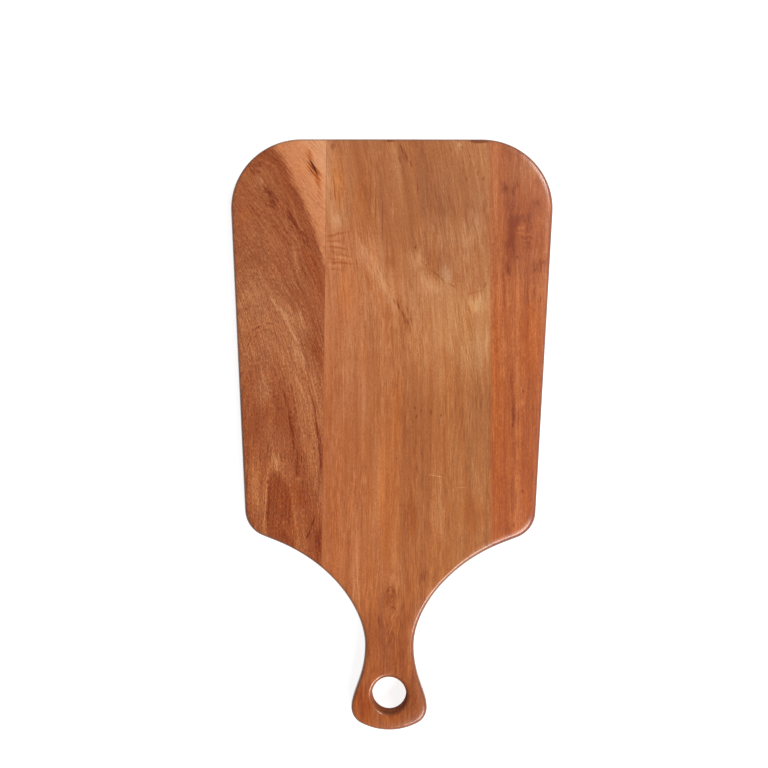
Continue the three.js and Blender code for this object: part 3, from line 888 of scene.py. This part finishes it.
def centre_wood(colours, thickness):
    """Tan wood with straight, quiet grain, a golden zone across the middle and a small knot near the neck."""
    stave = Stave("centre_stave_wood", thickness)
    graph, x, y = stave.graph, stave.x, stave.y
    curl = stave.curl(*CENTRE_CURL)
    wavy, _ = marks(graph, stave.place, WAVY_PATCH)
    wave = graph.times(waves(graph, y, WAVE_STEP), WAVE_HEIGHT)
    stave.set_fibres(graph.plus(swerve(stave, KNOT, KNOT_REACH, KNOT_SWERVE), curl, graph.times(wave, wavy)))

    across = graph.times_plus(curl, CURL_SHARE / MM, stave.across_mm(*CENTRE_SWAY))
    far, middle, near, arch = (graph.curve(across, *CENTRE_EDGE_MM, points) for points in (
        FAR_TONES, MIDDLE_TONES, NEAR_TONES, [(at, far_y / ARCH_SCALE) for at, far_y in ARCH_LINE]))
    height = graph.split(stave.feathered)[1]
    far_share = graph.spread(graph.times_plus(arch, -ARCH_SCALE * MM, height), *ARCH_EDGE)
    zone = graph.between(near, middle, graph.spread(height, *MIDDLE_EDGE))
    zone = graph.between(zone, far, far_share)

    figure, red = marks(graph, stave.feathered, CENTRE_FIGURE + KNOT_FIGURE)
    rippling = graph.vector("ADD", stave.place, graph.join(y=stave.patchy(*RIPPLE_SWAY)))
    ripples, ripple_red = marks(graph, rippling, RIPPLES)
    flecks, _ = marks(graph, stave.place, CENTRE_FLECKS + KNOT_STROKES)
    flecks = graph.plus(flecks, ripples)
    scratches, _ = marks(graph, stave.coordinates, SCRATCHES, core=0.3)
    scratches = graph.times(scratches, graph.spread(stave.depth, *SCRATCH_DEPTH))
    gold_lines = stave.lines(stave.feathered, GOLD_PATCH, lean=0.2, wide=1.1, long=12, amount=0.75)
    fan_lines = stave.lines(stave.place, FAN_PATCH, lean=0.5, wide=1.2, long=9, amount=0.65)
    knot_rings = stave.rings(KNOT, KNOT_RINGS, stretch=0.6, sway=(4, 4 * MM), step=3.6 * MM, amount=0.07)
    busy = graph.plus(graph.spread(stave.patchy(*BUSY_SWAY), *BUSY), graph.spread(y, *BUSY_NECK))
    bands, streaks, fine, specks = (stave.streaks(*row) for row in CENTRE_GRAIN)
    grain = graph.plus(bands, streaks, graph.times(fine, busy), specks)
    tone = graph.plus(zone, figure, flecks, scratches, gold_lines, fan_lines, knot_rings, grain)
    base = graph.palette(tone, (0.0, colours.centre_dark), (0.5, colours.centre_body), (1.0, colours.centre_light))
    pink = graph.times(
        graph.spread(x, *PINK_FROM_TO, *PINK_RANGE, "LINEAR"), graph.times_plus(far_share, FAR_PINK, 1.0))
    base = graph.tinted(base, pink, PINK_TINT)
    redness = graph.plus(red, ripple_red, stave.patchy(*CENTRE_PATCHY_RED), graph.times(far_share, FAR_RED))
    from_hole = graph.vector("LENGTH", graph.join(x, graph.minus(y, HOLE_Y)))
    drilled = graph.spread(from_hole, *BORED)
    # the rim number is the painted shade on this stave's rims
    return stave.finish(
        base, redness, tone, stave.pores(*CENTRE_PORES), CENTRE_PORE_COLOUR, pore_dark=0.3, rim_painted_shade=0.55,
        drilled=drilled)


# Right stave: straight red-orange wood with long streaks and a small burl near the far end.
RIGHT_EDGE_MM = (60, 112)
RIGHT_FAR_TONES = (
    (60, 0.54), (68, 0.54), (72, 0.46), (77, 0.36), (81, 0.36), (86, 0.41), (92, 0.43), (98, 0.47), (112, 0.52),
)
RIGHT_TONES = (
    (60, 0.55), (68, 0.56), (72, 0.57), (76, 0.43), (80, 0.54), (84, 0.57), (88, 0.5), (92, 0.43), (96, 0.51),
    (112, 0.54),
)
RIGHT_SWAY = (10, 70, 6 * MM)
RIGHT_FAR_EDGE = (84 * MM, 118 * MM)
RIGHT_FAR_RED = -0.4
RIGHT_GRAIN = ((3.4, 80, 0.7, 2, 0.7), (0.85, 8, 0.55), (1.2, 40, 0.3), (0.7, 2, 0.6))
RIGHT_PATCHY_RED = (9, 60, 1.2)
RIGHT_PORES = (0.5, 9, 0.16)
RIGHT_PORE_COLOUR = linear_colour(104, 46, 20)
SWIRL_DRIFT = (5, 5, 5 * MM)  # how the burl's marks wander across the stave
SWIRL_CELL = 4 * MM  # and along it
SWIRL_ALONG = 5 * MM
WISPS = (0.9, 14, 16 * MM)  # ragged ends of the dark cloud
BURL = Vector((89 * MM, 132 * MM, 0))
BURL_REACH = 8 * MM
BURL_SWERVE = 0.4
BURL_RINGS = ((90, 131, 12, 11, 0, 1),)
CLOUD = (
    (76, 159, 6, 6, 0, -0.28), (82, 159, 2.2, 10, -32, -0.2), (79, 148, 5, 10, 0, -0.14), (96.5, 147, 7, 8, -20, -0.2),
    (82, 136, 7, 6, -60, -0.32), (89, 139, 11, 4.5, 0, -0.18), (79.5, 122, 5, 18, -6, -0.28),
    (77.8, 105, 3, 11, 0, -0.32), (98.5, 107, 4.5, 11, -45, -0.28), (88, 132, 22, 28, 0, -0.1, 0.7),
    (94, 121, 10, 6, -20, -0.1),
)
SWIRLS = (
    (86, 133, 4.5, 1.8, 8, 0.26), (85, 128.8, 5, 1, 10, 0.18), (93, 127.8, 5, 1, -14, 0.18),
    (89, 126.2, 7, 1, 0, -0.16), (90, 124, 7, 0.9, 0, 0.12), (99.8, 138.6, 3.6, 0.8, 5, 0.2),
    (100, 136.2, 3.6, 0.8, 5, 0.18), (99.5, 133.8, 3, 0.8, 5, 0.14), (94.6, 88.5, 0.8, 6, 0, -0.3),
)
RIGHT_FIGURE_AND_PAINTED_LIGHT = (
    (70, -5, 7, 120, 0, -0.05, 0.5), (80, 4, 2.8, 66, 1, -0.26, -0.4), (80, 12, 2, 10, 0, -0.2, -0.4),
    (86.5, 26, 2, 4, 0, 0.08), (90, 55, 9, 40, 0, 0.02, 0.9), (70, 40, 3, 60, 0, 0, 0.7),
    (68, -30, 3, 40, 0, -0.08, 0.5), (75.5, 88, 1, 26, 0, -0.18, 0.4), (84, 86, 1.4, 28, 0, 0.14, 0.6),
    (90.5, 80, 1.2, 34, 0, -0.14, 0.5), (72, 84, 2, 30, 0, 0.1, 0.5), (95, 60, 1.4, 30, 0, 0.1, 0.6),
    # the first mark on the next line, paler and less red at the far right corner, is a painted sheen of the far soft
    # box
    (88, 172, 18, 18, 30, 0.1, -1.1), (82, -20, 40, 70, 0, -0.07, 0), (80, -46, 3, 18, 0, -0.14, -0.3),
    # the second mark on the next line, a darker strip that follows the right rim, is painted shade
    (88, -46, 4, 14, 6, 0.08, 0.8), (95.5, 0, 3.5, 75, -3.7, -0.16, 0.1), (74, -66, 10, 6, 15, -0.12, 0.1),
)
RIGHT_FLECKS = (
    (86.5, 15.5, 2, 3.6, 0, 0.26), (80.5, 6, 1.2, 5, 0, -0.3), (80, -12, 1, 6, 0, -0.2),
    (76.5, 159.5, 1.8, 2.2, 0, -0.24), (82, 159, 0.6, 7, -32, -0.18), (81.5, 135.5, 1.6, 3, -50, -0.24),
    (84, 112.6, 1.2, 2, 0, -0.4), (78, 103.5, 1.2, 4, 0, -0.28), (77, 119, 0.8, 6, 2, -0.2),
    (95, 103.5, 1, 3, -45, -0.26), (101, 109, 0.8, 3, -50, -0.24), (97.5, 149, 1, 2.4, 0, -0.2),
    (87, 23, 0.9, 1.6, 20, -0.55), (86, -42, 0.9, 1.8, 30, -0.55), (80, 1, 1.3, 2.6, 0, -0.4),
    (80, -64, 0.8, 1.8, 0, -0.35), (99, 84, 0.6, 5, 0, -0.35), (84, 8, 0.5, 6, 0, -0.3), (79, 30, 0.5, 10, 0, -0.25),
    (81, -20, 0.5, 12, 0, -0.25), (79, -50, 0.5, 9, 0, -0.25),
)


def right_wood(colours, thickness):
    """Straight red-orange wood, streaked, with a dark burl near its far end, a painted sheen at its far right corner
    and painted shade along its right rim.
    """
    stave = Stave("right_stave_wood", thickness)
    graph = stave.graph
    stave.set_fibres(swerve(stave, BURL, BURL_REACH, BURL_SWERVE))
    across = stave.across_mm(*RIGHT_SWAY)
    far, near = (graph.curve(across, *RIGHT_EDGE_MM, tones) for tones in (RIGHT_FAR_TONES, RIGHT_TONES))
    far_share = graph.spread(graph.split(stave.feathered)[1], *RIGHT_FAR_EDGE)
    zone = graph.between(near, far, far_share)

    figure, red = marks(graph, stave.feathered, RIGHT_FIGURE_AND_PAINTED_LIGHT)
    flecks, _ = marks(graph, stave.place, RIGHT_FLECKS)
    along = graph.times(graph.noise(stave.place, SWIRL_CELL), SWIRL_ALONG)
    drifted = graph.vector("ADD", stave.place, graph.join(stave.patchy(*SWIRL_DRIFT), along))
    swirls, _ = marks(graph, drifted, SWIRLS)
    wispy = graph.vector("ADD", drifted, graph.join(y=stave.streaks(*WISPS)))
    cloud, cloud_red = marks(graph, wispy, CLOUD)
    burl_rings = stave.rings(BURL, BURL_RINGS, stretch=1.3, sway=(9, 5 * MM), step=3.4 * MM, amount=0.05)
    grain = graph.plus(*(stave.streaks(*row) for row in RIGHT_GRAIN))
    tone = graph.plus(zone, figure, flecks, cloud, swirls, burl_rings, grain)
    base = graph.palette(tone, (0.0, colours.right_dark), (0.5, colours.right_body), (1.0, colours.right_light))
    redness = graph.plus(red, cloud_red, stave.patchy(*RIGHT_PATCHY_RED), graph.times(far_share, RIGHT_FAR_RED))
    # the right stave's rims take the most painted shade, as both soft boxes stand off its right side
    return stave.finish(
        base, redness, tone, stave.pores(*RIGHT_PORES), RIGHT_PORE_COLOUR, pore_dark=0.28, rim_painted_shade=0.85)


GLUE_CELL = cell(4, 9)
GLUE_DARK = 0.8  # darkest and palest glue, as shares of its colour
GLUE_LIGHT = 1.25
GLUE_ROUGHNESS = 0.45


def dried_glue(colours):
    """Dried glue, slightly uneven in colour."""
    graph = Graph("dried_glue")
    coordinates = graph.tree.nodes.new("ShaderNodeTexCoord").outputs["Object"]
    patchy = graph.noise(coordinates, GLUE_CELL, 2.0)
    dark = tuple(channel * GLUE_DARK for channel in colours.glue)
    light = tuple(min(1.0, channel * GLUE_LIGHT) for channel in colours.glue)
    shade = graph.palette(graph.plus(patchy, 0.5), (0.3, dark), (0.7, light))
    graph.feed(graph.shader.inputs["Base Color"], shade)
    graph.feed(graph.shader.inputs["Roughness"], graph.times_plus(patchy, 0.2, GLUE_ROUGHNESS))
    return graph.material


# Stage

FLOOR_SIZE = 6.0
FLOOR_DROP = 0.2 * MM  # keeps the floor just clear of the underside
FLOOR_ROUGHNESS = 0.9
FLOOR_GLOW = 0.87  # what the lit floor lacks of white
WHITE = (1, 1, 1, 1)
SENSOR_WIDTH = 36  # mm
CLIP_START = 0.01


def aim(place, target=Vector((0, 0, 0))):
    """Turns a lamp at a place towards a target."""
    turn = (target - place).to_track_quat("-Z", "Y").to_matrix().to_4x4()
    return Matrix.Translation(place) @ turn


def floor_finish(stage):
    """Pale floor that shows as white where no shadow falls, to the camera and in reflections."""
    graph = Graph("pale_floor")
    rays = graph.tree.nodes.new("ShaderNodeLightPath").outputs
    mirrored = graph.math("MAXIMUM", rays["Is Glossy Ray"], rays["Is Transmission Ray"])
    seen = graph.math("MAXIMUM", rays["Is Camera Ray"], mirrored)
    inputs = graph.shader.inputs
    inputs["Base Color"].default_value = (*stage.floor, 1.0)
    inputs["Roughness"].default_value = FLOOR_ROUGHNESS
    inputs["Emission Color"].default_value = WHITE
    graph.feed(inputs["Emission Strength"], graph.times(seen, FLOOR_GLOW))
    return graph.material


def room_world(stage):
    """Soft light from all round, paler low down, which the camera itself sees as white."""
    world = bpy.data.worlds.new("studio_room")
    world.use_nodes = True
    nodes, links = world.node_tree.nodes, world.node_tree.links
    way = nodes.new("ShaderNodeSeparateXYZ")
    links.new(nodes.new("ShaderNodeTexCoord").outputs["Generated"], way.inputs[0])
    room = nodes.new("ShaderNodeMapRange")
    links.new(way.outputs["Z"], room.inputs["Value"])
    room.inputs["To Min"].default_value = stage.wall_light
    room.inputs["To Max"].default_value = stage.ceiling_light
    seen = nodes.new("ShaderNodeMapRange")
    links.new(nodes.new("ShaderNodeLightPath").outputs["Is Camera Ray"], seen.inputs["Value"])
    links.new(room.outputs[0], seen.inputs["To Min"])
    seen.inputs["To Max"].default_value = 1.0
    background = nodes["Background"]
    background.inputs["Color"].default_value = WHITE
    links.new(seen.outputs[0], background.inputs["Strength"])
    return world


# Operators

class BOARD_OT_left_stave(bpy.types.Operator):
    """Add the left stave"""
    bl_idname = "serving_board.left_stave"
    bl_label = "Left Stave"

    def execute(self, context):
        board = context.scene.serving_board
        wood = left_wood(board.colours, board.sizes.thickness)
        stave = add_strip(context, "left_stave_wood", wood, to_x=left_film[0].x)
        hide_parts("left_stave")
        return {"FINISHED"}


class BOARD_OT_centre_stave(bpy.types.Operator):
    """Add the centre stave with the grip"""
    bl_idname = "serving_board.centre_stave"
    bl_label = "Centre Stave"

    def execute(self, context):
        board = context.scene.serving_board
        wood = centre_wood(board.colours, board.sizes.thickness)
        stave = add_strip(context, "centre_stave_wood", wood, from_x=left_film[1].x, to_x=right_film[0].x)
        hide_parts("centre_stave")
        return {"FINISHED"}


class BOARD_OT_right_stave(bpy.types.Operator):
    """Add the right stave"""
    bl_idname = "serving_board.right_stave"
    bl_label = "Right Stave"

    def execute(self, context):
        board = context.scene.serving_board
        wood = right_wood(board.colours, board.sizes.thickness)
        stave = add_strip(context, "right_stave_wood", wood, from_x=right_film[1].x)
        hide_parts("right_stave")
        return {"FINISHED"}


class BOARD_OT_glue_lines(bpy.types.Operator):
    """Add the two films of dried glue between the staves"""
    bl_idname = "serving_board.glue_lines"
    bl_label = "Glue Lines"

    def execute(self, context):
        glue = dried_glue(context.scene.serving_board.colours)
        left = add_strip(context, "left_glue_film", glue, from_x=left_film[0].x, to_x=left_film[1].x)
        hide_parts("left_glue_line")
        right = add_strip(context, "right_glue_film", glue, from_x=right_film[0].x, to_x=right_film[1].x)
        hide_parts("right_glue_line")
        return {"FINISHED"}


class BOARD_OT_stage(bpy.types.Operator):
    """Add the floor, the soft light and the camera"""
    bl_idname = "serving_board.stage"
    bl_label = "Stage"

    def execute(self, context):
        scene = context.scene
        stage = scene.serving_board.stage
        scene.view_settings.view_transform = "Standard"
        scene.world = room_world(stage)

        bm = bmesh.new()
        bmesh.ops.create_grid(bm, x_segments=1, y_segments=1, size=FLOOR_SIZE / 2)
        bmesh.ops.translate(bm, verts=bm.verts[:], vec=UP * -FLOOR_DROP)
        mesh = bpy.data.meshes.new("floor")
        bm.to_mesh(mesh)
        bm.free()
        mesh.materials.append(floor_finish(stage))
        floor = bpy.data.objects.new("floor", mesh)
        context.collection.objects.link(floor)

        for name in ("near_light", "far_light"):
            lamp = bpy.data.lights.new(name, "AREA")
            lamp.shape = "RECTANGLE"
            lamp.size = getattr(stage, name + "_width")
            lamp.size_y = getattr(stage, name + "_height")
            lamp.energy = getattr(stage, name + "_power")
            soft_box = bpy.data.objects.new(name, lamp)
            soft_box.matrix_world = aim(Vector(getattr(stage, name + "_place")))
            context.collection.objects.link(soft_box)

        lens = bpy.data.cameras.new("camera")
        lens.lens = stage.lens
        lens.sensor_width = SENSOR_WIDTH
        lens.clip_start = CLIP_START
        camera = bpy.data.objects.new("camera", lens)
        tilt = Matrix.Rotation(stage.camera_tilt, 4, "X")
        turn = Matrix.Rotation(stage.camera_turn, 4, "Y")
        roll = Matrix.Rotation(stage.camera_roll, 4, "Z")
        camera.matrix_world = Matrix.Translation(stage.camera_place) @ tilt @ turn @ roll
        context.collection.objects.link(camera)
        scene.camera = camera
        return {"FINISHED"}


class BOARD_PT_panel(bpy.types.Panel):
    """Buttons and settings of the serving board"""
    bl_label = "Serving Board"
    bl_space_type = "VIEW_3D"
    bl_region_type = "UI"
    bl_category = "Board"

    def draw(self, context):
        board = context.scene.serving_board
        for operator in OPERATORS:
            self.layout.operator(operator.bl_idname)
        for group in (board.sizes, board.colours, board.stage):
            box = self.layout.box()
            for name in group.__annotations__:
                box.prop(group, name)


OPERATORS = (
    BOARD_OT_left_stave, BOARD_OT_centre_stave, BOARD_OT_right_stave, BOARD_OT_glue_lines, BOARD_OT_stage)
CLASSES = (BoardSizes, BoardColours, BoardStage, ServingBoard, *OPERATORS, BOARD_PT_panel)


def register():
    for each in CLASSES:
        bpy.utils.register_class(each)
    bpy.types.Scene.serving_board = PointerProperty(type=ServingBoard)


def unregister():
    del bpy.types.Scene.serving_board
    for each in reversed(CLASSES):
        bpy.utils.unregister_class(each)


def main():
    """Builds the board and its stage."""
    register()
    bpy.ops.serving_board.left_stave()
    bpy.ops.serving_board.centre_stave()
    bpy.ops.serving_board.right_stave()
    bpy.ops.serving_board.glue_lines()
    bpy.ops.serving_board.stage()


if __name__ == "__main__":
    main()
